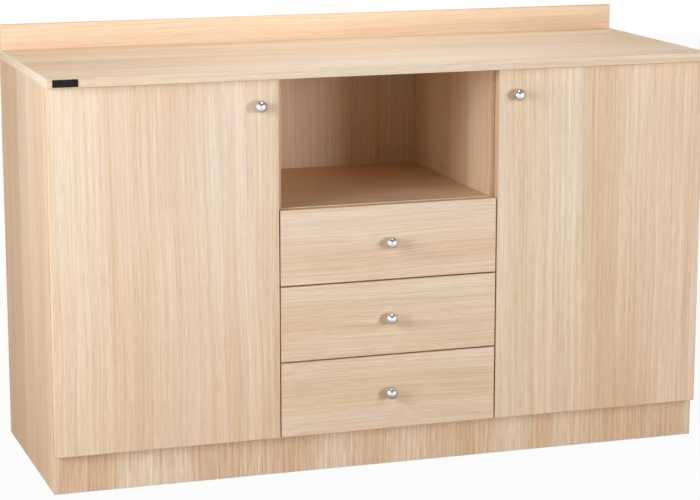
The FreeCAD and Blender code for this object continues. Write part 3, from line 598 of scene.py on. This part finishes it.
def finishBoard(work, solid, look, start, gridMap):
    low, high = limits(solid)
    extent = [high[axis] - low[axis] for axis in range(3)]
    thin = extent.index(min(extent))
    grain = "xyz".index(look["grain"])
    banded = {("xyz".index(side[1]), int(side[0] == "+")) for side in look["banded"].split()}
    for axis, end in banded:
        point, normal = [0, 0, 0], [0, 0, 0]
        point[axis] = (low, high)[end][axis] + boardMaking["bandThickness"] * (1 - 2 * end)
        normal[axis] = 1
        faces = facesOf(solid)
        edges = {edge for face in faces for edge in face.edges}
        cut = bmesh.ops.bisect_plane(work, geom=list(solid) + list(edges) + list(faces), dist=1e-7,
                                     plane_co=point, plane_no=normal)
        solid.update(item for item in cut["geom_cut"] if isinstance(item, bmesh.types.BMVert))
    roundArrises(work, low, high, lambda pair: banded & set(pair), boardMaking["bandRounding"])
    roundArrises(work, low, high, lambda pair: not banded & set(pair), boardMaking["rawRounding"])
    for face in work.faces:
        centre = face.calc_center_bounds()
        if not within(centre, low, high):
            continue
        steepest = max(range(3), key=lambda axis: abs(face.normal[axis]))
        inBand = [axis for axis, end in banded
                  if abs(centre[axis] - (low, high)[end][axis]) < boardMaking["bandThickness"] + nearPlane]
        depth = min(centre[thin] - low[thin], high[thin] - centre[thin])
        onFace = steepest == thin and depth < boardMaking["faceDepth"]
        face.material_index = 1 if inBand else 0 if onFace else 2
        if inBand or not onFace:
            flat = inBand[0] if inBand else steepest
            lengthwise = max((axis for axis in range(3) if axis != flat), key=lambda axis: extent[axis])
            shift = edgeShift
        else:
            flat, lengthwise = thin, grain
            shift = 0.0 if face.normal[thin] < 0 else rearShift
        across = 3 - flat - lengthwise      # the axis that is left of 0, 1 and 2
        for loop in face.loops:
            loop[gridMap].uv = (loop.vert.co[across] + start[0] + shift,
                                loop.vert.co[lengthwise] + start[1] + shift)


def boardPiece(node, look, number):
    work = mergedCopy(node)
    gridMap = work.loops.layers.uv.new(grainMap)
    warmthAndPaintedShade, figure = [work.faces.layers.float.new(mark) for mark in (warmthAndPaintedShadeMark, figureMark)]
    first = look.get("place", [number * step for step in sheetStep])
    for count, solid in enumerate(separateSolids(work)):
        start = [first[way] + count * sheetStep[way] * solidStep for way in range(2)]
        finishBoard(work, solid, look, start, gridMap)
    for face in work.faces:
        banded = face.material_index == 1
        face[warmthAndPaintedShade] = look.get("edge", look["warmthAndPaintedShade"]) if banded else look["warmthAndPaintedShade"]
        face[figure] = look["figure"]
    finish(work, sheets[look["sheet"]], node, smoothed=boardSmoothing)


for number, (node, look) in enumerate(boards.items()):
    boardPiece(node, {**boardCommon, **look}, number)
print("boards ready:", len(boards))


# shapes that the fittings are made of
def addBlock(work, low, high, rounding):
    corners = bmesh.ops.create_cube(work, size=1)["verts"]
    for corner in corners:
        corner.co = Vector([(low[axis] + high[axis]) / 2 + corner.co[axis] * (high[axis] - low[axis])
                            for axis in range(3)])
    rounded(work, {edge for corner in corners for edge in corner.link_edges}, rounding, 2)


def addRing(work, radius, distance, sides, start=0.0, flute=0.0):
    if radius == 0:
        return [work.verts.new((0, 0, distance))]
    ring = []
    for step in range(sides):
        angle = start + 2 * math.pi * step / sides
        reach = radius * (1 - flute * (step % 2))
        ring.append(work.verts.new((reach * math.cos(angle), reach * math.sin(angle), distance)))
    return ring


def joinRings(work, rings):
    for lower, upper in zip(rings, rings[1:]):
        for step in range(max(len(lower), len(upper))):
            corners = [lower[step % len(lower)], lower[(step + 1) % len(lower)],
                       upper[(step + 1) % len(upper)], upper[step % len(upper)]]
            work.faces.new(list(dict.fromkeys(corners)))


def scaled(profile):
    return [(distance * millimetre, radius * millimetre) for distance, radius in profile]


def addTurned(work, profile, sides, flute=0.0):
    # profile: distance along Z and radius of each ring; a radius of 0 closes the end
    rings = [addRing(work, radius, distance, sides, flute=flute) for distance, radius in profile]
    joinRings(work, rings)


crossSides = 24             # of a head's rings: two for each corner of its cross
shankSides = 12
threadRoot = 0.78           # of the shank's radius
headDome = ((0, 0), (0, 0.96), (0.35, 1), (0.8, 0.86))      # parts of the head's rise and of its radius


def addCrossHead(work, profile, recess, taper):
    # turned rings, the last with a cross sunk into it: the recess is its reach, half its width and its depth
    rings = [addRing(work, radius, distance, crossSides, -math.pi / 12) for distance, radius in profile]
    joinRings(work, rings)
    reach, width, depth = recess
    arm, cross = [(reach, -width), (reach, width), (width, width)], []
    for quarter in range(4):
        cross += arm
        arm = [(-y, x) for x, y in arm]
    level, outer = profile[-1][0], rings[-1]
    rim = [work.verts.new((x, y, level)) for x, y in cross]
    base = [work.verts.new((x * taper, y * taper, level - depth)) for x, y in cross]
    for step in range(len(cross)):
        after = (step + 1) % len(cross)
        work.faces.new([rim[step], rim[after], outer[(2 * after) % crossSides], outer[2 * step + 1],
                        outer[2 * step]])
        work.faces.new([base[step], base[after], rim[after], rim[step]])
    work.faces.new(base)


def addCrossScrew(work, look):
    # a domed head above Z = 0 and a threaded shank below it
    radius, height, shank, length = [look[name] for name in ("head", "rise", "shank", "length")]
    turns = max(1, int(length / look["pitch"]))
    profile = [(-length, 0), (-length, shank * 0.5)]
    for turn in range(turns):
        base = -length + turn * length / turns
        profile += [(base + 0.2 * length / turns, shank * threadRoot), (base + 0.6 * length / turns, shank)]
    addTurned(work, profile + [(0, shank * 0.8)], shankSides)
    dome = [(height * rise, radius * size) for rise, size in headDome]
    crown = max(radius * 0.62, look["recess"][0] * 1.12)
    addCrossHead(work, dome + [(height, crown)], look["recess"], 0.8)


def channelOutline(depth, half, sheet, bend, steps=4):
    # a folded channel's section: depth out from its web, and half its height
    outline = []
    for radius, inset in ((bend, 0.0), (bend - sheet, sheet)):
        path = [(depth, -half + inset)]
        for centre, first in (((bend, -half + bend), 1.5), ((bend, half - bend), 1.0)):
            for step in range(steps + 1):
                angle = math.pi * (first - 0.5 * step / steps)
                path.append((centre[0] + radius * math.cos(angle), centre[1] + radius * math.sin(angle)))
        path.append((depth, half - inset))
        outline += path if inset == 0 else list(reversed(path))
    return outline


def addChannel(work, outline, side, web, outward, start, end):
    # outward: the way that the flanges run from the web, along X
    rims = [[work.verts.new((side * (web + outward * depth), along, level)) for depth, level in outline]
            for along in (start, end)]
    for step in range(len(outline)):
        after = (step + 1) % len(outline)
        work.faces.new([rims[0][step], rims[0][after], rims[1][after], rims[1][step]])
    work.faces.new(rims[0])
    work.faces.new(list(reversed(rims[1])))


def sourceShape(name, draw):
    # a shape that the repeating tree sets out; it isn't shown itself
    work = bmesh.new()
    draw(work)
    return bpy.data.objects.new(name, meshOf(work, name))


def makeRepeatTree():
    # sets a shape on every point, its Z along the point's heading and its X towards the point's side
    tree = bpy.data.node_groups.new("repeatOnPoints", "GeometryNodeTree")
    tree.interface.new_socket("Points", in_out="INPUT", socket_type="NodeSocketGeometry")
    for name, kind in (("Shape", "Object"), ("Finish", "Material"), ("Twist", "Float"), ("Seed", "Int")):
        tree.interface.new_socket(name, in_out="INPUT", socket_type="NodeSocket" + kind)
    tree.interface.new_socket("Geometry", in_out="OUTPUT", socket_type="NodeSocketGeometry")
    start = build(tree, "NodeGroupInput").outputs
    shape = build(tree, "GeometryNodeObjectInfo", {"Object": start["Shape"]})
    turn = None
    for mark, axis, pivot in (("heading", "Z", "AUTO"), ("side", "X", "Z")):
        way = build(tree, "GeometryNodeInputNamedAttribute", {"Name": mark}, data_type="FLOAT_VECTOR")
        align = build(tree, "FunctionNodeAlignRotationToVector", {"Vector": way.outputs["Attribute"]},
                      axis=axis, pivot_axis=pivot)
        if turn:
            tree.links.new(turn, align.inputs["Rotation"])
        turn = align.outputs["Rotation"]
    twist = build(tree, "FunctionNodeRandomValue", {"Seed": start["Seed"]}, data_type="FLOAT")
    most = [item for item in twist.inputs if item.name == "Max" and item.type == "VALUE"][0]
    tree.links.new(start["Twist"], most)
    amount = [item for item in twist.outputs if item.type == "VALUE" and item.enabled][0]
    spin = build(tree, "FunctionNodeAxisAngleToRotation", {"Axis": (0, 0, 1), "Angle": amount})
    whole = build(tree, "FunctionNodeRotateRotation", {"Rotation": turn, "Rotate By": spin.outputs[0]},
                  rotation_space="LOCAL")
    copies = build(tree, "GeometryNodeInstanceOnPoints", {"Points": start["Points"],
                                                          "Instance": shape.outputs["Geometry"],
                                                          "Rotation": whole.outputs[0]})
    real = build(tree, "GeometryNodeRealizeInstances", {"Geometry": copies.outputs[0]})
    done = build(tree, "GeometryNodeSetMaterial", {"Geometry": real.outputs[0], "Material": start["Finish"]})
    build(tree, "NodeGroupOutput", {"Geometry": done.outputs[0]})
    return tree


repeatTree = makeRepeatTree()


def repeated(name, node, shape, material, spots, twist=0.0, seed=1):
    # spots: point, heading and side of each copy
    mesh = bpy.data.meshes.new(name)
    mesh.from_pydata([spot[0] for spot in spots], [], [])
    for mark, column in (("heading", 1), ("side", 2)):
        attribute = mesh.attributes.new(mark, "FLOAT_VECTOR", "POINT")
        for item, spot in zip(attribute.data, spots):
            item.vector = spot[column]
    piece = link(bpy.data.objects.new(name, mesh))
    modifier = piece.modifiers.new("repeat", "NODES")
    modifier.node_group = repeatTree
    sockets = {item.name: item.identifier for item in repeatTree.interface.items_tree
               if item.in_out == "INPUT"}
    for socket, value in (("Shape", shape), ("Finish", finishes[material]), ("Twist", twist), ("Seed", seed)):
        modifier[sockets[socket]] = value
    drawn = bpy.data.meshes.new_from_object(piece.evaluated_get(bpy.context.evaluated_depsgraph_get()))
    piece.modifiers.clear()
    piece.data = drawn
    settle(piece, node)


def solidBoxes(node):
    work = mergedCopy(node)
    boxes = [limits(solid) for solid in separateSolids(work)]
    work.free()
    return [(Vector(low), Vector(high)) for low, high in boxes]


# knobs
knobMaking = {
    "ball": 12.5,           # millimetres, as the others are
    "reach": 27.0,
    "foot": ((0.0, 0.0), (0.0, 7.3), (0.25, 7.5), (0.7, 7.4), (1.2, 6.5), (1.7, 5.7), (2.2, 5.2), (2.8, 5.0)),
    "sides": 56,
    "ballRings": 26,
}


def drawKnob(work):
    ball, rings, neck = knobMaking["ball"], knobMaking["ballRings"], knobMaking["foot"][-1][1]
    centre, first = knobMaking["reach"] - ball, math.asin(neck / ball)
    profile = list(knobMaking["foot"])
    for step in range(rings + 1):
        angle = first + (math.pi - first) * step / rings
        profile.append((centre - ball * math.cos(angle), ball * math.sin(angle) if step < rings else 0.0))
    addTurned(work, scaled(profile), knobMaking["sides"])


knobShape = sourceShape("knobShape", drawKnob)
knobNodes = [f"{hand}_door_knob" for hand in hands] + [f"{tier}_drawer_knob" for tier in tiers]
for node in knobNodes:
    low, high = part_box(node)
    foot = ((low.x + high.x) / 2, high.y, (low.z + high.z) / 2)
    repeated(camelName(node), node, knobShape, "polishedChrome", [(foot, (0, -1, 0), (1, 0, 0))])
print("knobs ready:", len(knobNodes))

# screws, pegs and dowels
screwLooks = {
    "panHeadScrew": inMetres({"head": 4.0, "rise": 2.0, "shank": 2.0, "length": 25.9, "pitch": 1.0,
                              "recess": (2.2, 0.45, 1.2)}),
    "woodScrew": inMetres({"head": 3.2, "rise": 1.0, "shank": 1.7, "length": 12.9, "pitch": 1.6,
                           "recess": (1.8, 0.4, 0.7)}),
    "flatHeadScrew": inMetres({"head": 3.2, "rise": 0.85, "shank": 1.2, "length": 0.4, "pitch": 0.4,
                               "recess": (1.9, 0.42, 0.6)}),
}
screwShapes = {name: sourceShape(name, lambda work, look=look: addCrossScrew(work, look))
               for name, look in screwLooks.items()}
knobScrewOver = 7 * millimetre      # the width of a solid above which it is a knob's screw
fullTurn = 6.28                     # slots and flutes stand at any angle up to this
dowelLook = {"length": 30, "flute": 0.05, "endRadius": 0.72, "endLength": 0.08, "sides": 24}


def dowelShape(name, radius):
    length, sides, flute = [dowelLook[name] for name in ("length", "sides", "flute")]
    slim, taper = radius * dowelLook["endRadius"], length * dowelLook["endLength"]
    profile = [(0, 0), (0, slim), (taper, radius), (length - taper, radius), (length, slim), (length, 0)]
    return sourceShape(name, lambda work: addTurned(work, scaled(profile), sides, flute))


def longWay(low, high):
    # the middle of a box's near end, and the longest way through it
    size = high - low
    axis = max(range(3), key=lambda index: size[index])
    heading = Vector([float(index == axis) for index in range(3)])
    centre = (low + high) / 2
    centre[axis] = low[axis]
    return centre, heading


def lengthwiseSpots(node):
    return [(*longWay(*box), (0, 0, 0)) for box in solidBoxes(node)]


def inwardSpots(node, wide, level):
    # the wide or the narrow solids of a front's node, each with its heading into the cabinet
    return [(((low.x + high.x) / 2, level(low, high), (low.z + high.z) / 2), (0, 1, 0), (0, 0, 0))
            for low, high in solidBoxes(node) if (high.x - low.x > knobScrewOver) == wide]


def underHead(screw):
    return lambda low, high: high.y - screwLooks[screw]["rise"]


boardDowel = dowelShape("boardDowel", 4.0)
boxDowel = dowelShape("boxDowel", 3.0)
repeated("woodenDowels", "wooden_dowels", boardDowel, "beech", lengthwiseSpots("wooden_dowels"), fullTurn, 4)
for hand in hands:
    node = f"{hand}_door_screws"
    for name, screw, wide, metal, seed in (("Knob", "panHeadScrew", True, "zincSteel", 5),
                                           ("Cup", "woodScrew", False, "nickelSteel", 7)):
        spots = inwardSpots(node, wide, underHead(screw))
        pieceName = f"{hand}Door{name}Screw" + ("" if wide else "s")
        repeated(pieceName, node, screwShapes[screw], metal, spots, fullTurn, seed)
for tier in tiers:
    node = f"{tier}_drawer_fixings"
    spots = inwardSpots(node, True, underHead("panHeadScrew"))
    repeated(f"{tier}DrawerKnobScrew", node, screwShapes["panHeadScrew"], "zincSteel", spots, fullTurn, 8)
    spots = inwardSpots(node, False, lambda low, high: low.y)
    repeated(f"{tier}DrawerDowels", node, boxDowel, "beech", spots, fullTurn, 9)

# cams, shelf pins and door buffers
camLook = inMetres({"radius": 7.5, "depth": 12.5, "chamfer": 0.4, "dish": 0.35, "recess": (4.6, 0.9, 3.0),
                    "bolt": 3.2, "boltLength": 34, "boltBelow": 9, "thread": 2.45, "threadLength": 11,
                    "threadStep": (1.0, 1.6)})
camTurns, boltSides = 5, 16
boltUpright = 40 * millimetre       # a cam with its bolt is higher than this where the bolt stands upright
sidePanelsFrom = 0.5                # metres from the middle


def drawCam(work):
    # the face at Z = 0, the body below it and the bolt along X
    radius, depth, chamfer, dish = [camLook[name] for name in ("radius", "depth", "chamfer", "dish")]
    body = ((-depth, 0), (-depth, radius * 0.94), (-depth + chamfer, radius), (-chamfer, radius),
            (0, radius * 0.95), (0, radius * 0.86), (-dish, radius * 0.83), (-dish, radius * 0.72))
    addCrossHead(work, body, camLook["recess"], 0.85)
    before = set(work.verts)
    bolt, thread, first = camLook["bolt"], camLook["thread"], camLook["boltLength"]
    profile = [(radius * 0.5, 0), (radius * 0.5, bolt), (first, bolt), (first, thread * 0.8)]
    for turn in range(camTurns):
        base = first + turn * camLook["threadLength"] / camTurns
        root, crest = camLook["threadStep"]
        profile += [(base + root, thread * 0.8), (base + crest, thread)]
    last = first + camLook["threadLength"]
    addTurned(work, profile + [(last, thread * 0.6), (last, 0)], boltSides)
    swing = Matrix.Rotation(math.radians(90), 3, "Y")
    for corner in set(work.verts) - before:
        corner.co = swing @ corner.co - Vector((0, 0, camLook["boltBelow"]))


camSpots = []
for low, high in solidBoxes("cam_fittings"):
    centre = (low + high) / 2
    if high.z - low.z > boltUpright:
        outwards = math.copysign(1, centre.x) * (-1 if abs(centre.x) > sidePanelsFrom else 1)
        face = high.x if outwards > 0 else low.x
        camSpots.append(((face, centre.y, low.z + camLook["radius"]), (outwards, 0, 0), (0, 0, 1)))
    else:
        outwards = math.copysign(1, centre.x)
        face = (low.x if outwards > 0 else high.x) + outwards * camLook["radius"]
        camSpots.append(((face, centre.y, low.z), (0, 0, -1), (outwards, 0, 0)))
repeated("camFittings", "cam_fittings", sourceShape("camShape", drawCam), "zincSteel", camSpots)

# distance and radius of each ring, in millimetres
pinLook = ((0, 0), (0, 2.1), (0.4, 2.5), (8.2, 2.5), (8.5, 2.2), (8.9, 2.2), (9.2, 2.5), (17.6, 2.5),
           (18, 2.1), (18, 0))
pinSides = 28
pinShape = sourceShape("shelfPinShape", lambda work: addTurned(work, scaled(pinLook), pinSides))
repeated("shelfPins", "shelf_pins", pinShape, "zincSteel", lengthwiseSpots("shelf_pins"), fullTurn, 2)

bufferLook = ((0, 0), (0, 4.0), (0.35, 4.0), (0.9, 3.7), (1.35, 3.1), (1.65, 2.2), (1.78, 1.1), (1.8, 0))
bufferSides = 32
bufferShape = sourceShape("doorBufferShape", lambda work: addTurned(work, scaled(bufferLook), bufferSides))
spots = [(((low.x + high.x) / 2, high.y, (low.z + high.z) / 2), (0, -1, 0), (0, 0, 0))
         for low, high in solidBoxes("door_buffers")]
repeated("doorBuffers", "door_buffers", bufferShape, "clearBuffer", spots)
print("screws, cams and pins ready")

# hinges: the pressed parts keep their CAD form, with softened edges and adjusting screws
pressedRounding = inMetres({
    "hinge_arms": 0.25, "hinge_mounting_plates": 0.35,
    **{f"{hand}_door_hinge_{part}": 0.15 for part in ("cups", "links") for hand in hands}})
softenFrom = 38             # degrees that an edge turns by
armScrews = inMetres({"fromPlate": 5.1, "fromRear": (29.0, 6.0)})


def softenedCopy(node, size):
    work = mergedCopy(node)
    work.normal_update()
    rounded(work, [edge for edge in work.edges if len(edge.link_faces) == 2
                   and edge.calc_face_angle(0) > math.radians(softenFrom)], size, 2)
    return work


for node, size in pressedRounding.items():
    finish(softenedCopy(node, size), ["nickelSteel"], node)
spots = []
for low, high in solidBoxes("hinge_arms"):
    side = math.copysign(1, low.x)
    beam = max(abs(low.x), abs(high.x)) - armScrews["fromPlate"]
    for run in armScrews["fromRear"]:
        spots.append(((side * beam, high.y - run, (low.z + high.z) / 2), (-side, 0, 0), (0, 0, 0)))
repeated("hingeArmScrews", "hinge_arms", screwShapes["flatHeadScrew"], "nickelSteel", spots, fullTurn, 12)
print("hinges ready")

# drawer slides: rolled channels, ball cages and their balls
slideMaking = inMetres({
    "cabinetDepth": 9.6,        # of each member's flanges
    "betweenDepth": 9.0,
    "drawerDepth": 8.2,
    "sheet": 1.2,
    "bend": 2.0,
    "betweenHalf": 17.5,        # half the height of the member between the other two
    "cageLength": 180,
    "cageEnd": 12,
    "cageWidth": 4.0,
    "cageThickness": 0.6,
    "cageRounding": 0.15,
    "outerRace": 19.25,         # of the balls' centres above and below the slide's middle
    "innerRace": 14.55,
    "ball": 1.72,
    "screwRuns": (37, 165, 389),    # from the slide's front end
})
ballsPerCage = 16
ballShape = sourceShape("bearingBall", lambda work: bmesh.ops.create_uvsphere(
    work, u_segments=10, v_segments=6, radius=slideMaking["ball"]))


def slidePiece(node, depth, flangesInwards, half=None):
    work = bmesh.new()
    for low, high in solidBoxes(node):
        side = math.copysign(1, low.x)
        near, far = sorted((abs(low.x), abs(high.x)))
        level = (low.z + high.z) / 2
        height = half or (high.z - low.z) / 2
        section = channelOutline(slideMaking[depth], height, slideMaking["sheet"], slideMaking["bend"])
        outline = [(out, level + up) for out, up in section]
        web, outward = (far, -1) if flangesInwards else (near, 1)
        addChannel(work, outline, side, web, outward, low.y, high.y)
    return work


def slideScrews(node, name, flangesInwards, seed):
    spots = []
    for low, high in solidBoxes(node):
        side = math.copysign(1, low.x)
        near, far = sorted((abs(low.x), abs(high.x)))
        web = (far - slideMaking["sheet"]) if flangesInwards else (near + slideMaking["sheet"])
        for run in slideMaking["screwRuns"]:
            spots.append(((side * web, low.y + run, (low.z + high.z) / 2),
                          (-side if flangesInwards else side, 0, 0), (0, 0, 0)))
    repeated(name, node, screwShapes["flatHeadScrew"], "nickelSteel", spots, fullTurn, seed)


def addCages(work, low, high):
    # two strips above and two below the member, and the places of their balls
    middle, level = (low.x + high.x) / 2, (low.z + high.z) / 2
    length, width, thickness = [slideMaking["cage" + name] for name in ("Length", "Width", "Thickness")]
    balls = []
    for race, start in (("outerRace", high.y - slideMaking["cageEnd"] - length),
                        ("innerRace", low.y + slideMaking["cageEnd"])):
        for sign in (-1, 1):
            centre = level + sign * slideMaking[race]
            addBlock(work, (middle - width / 2, start, centre - thickness / 2),
                     (middle + width / 2, start + length, centre + thickness / 2),
                     slideMaking["cageRounding"])
            balls += [((middle, start + (step + 0.5) * length / ballsPerCage, centre), (0, 0, 1), (0, 0, 0))
                      for step in range(ballsPerCage)]
    return balls


node = "cabinet_slide_members"
finish(slidePiece(node, "cabinetDepth", True), ["zincSteel"], node)
slideScrews(node, "cabinetSlideScrews", True, 21)
for tier in tiers:
    node = f"{tier}_drawer_slide_members"
    finish(slidePiece(node, "drawerDepth", False), ["zincSteel"], node)
    slideScrews(node, f"{tier}DrawerSlideScrews", False, 22)
    node = f"{tier}_drawer_intermediate_members"
    work = slidePiece(node, "betweenDepth", True, slideMaking["betweenHalf"])
    balls = [ball for box in solidBoxes(node) for ball in addCages(work, *box)]
    finish(work, ["zincSteel"], node)
    repeated(f"{tier}DrawerBearingBalls", node, ballShape, "ballSteel", balls)
print("slides ready")

# blank plate on the worktop's edge
plateLook = inMetres({"corner": 1.2, "leastCorner": 0.2, "rounding": 0.2, "rim": 0.8, "sunk": 0.12})
cornerSteps = 6


def drawPlate(low, high):
    work = bmesh.new()

    def outline(inset, depth):
        ring = []
        radius = max(plateLook["corner"] - inset, plateLook["leastCorner"])
        for x, z, first in ((high.x, high.z, 0.0), (low.x, high.z, 0.5), (low.x, low.z, 1.0),
                            (high.x, low.z, 1.5)):
            centreX = x - math.copysign(inset + radius, x - (low.x + high.x) / 2)
            centreZ = z - math.copysign(inset + radius, z - (low.z + high.z) / 2)
            for step in range(cornerSteps + 1):
                angle = math.pi * (first + 0.5 * step / cornerSteps)
                ring.append(work.verts.new((centreX + radius * math.cos(angle), depth,
                                            centreZ + radius * math.sin(angle))))
        return ring

    soft, rim, sunk = [plateLook[name] for name in ("rounding", "rim", "sunk")]
    rings = [outline(0, high.y), outline(0, low.y + soft), outline(soft * 0.3, low.y + soft * 0.3),
             outline(soft, low.y), outline(rim, low.y), outline(rim + sunk, low.y + sunk)]
    work.faces.new(rings[0])
    joinRings(work, rings)
    work.faces.new(rings[-1])
    return work


finish(drawPlate(*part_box("blank_edge_plate")), ["blackPlate"], "blank_edge_plate")
print("plate ready")
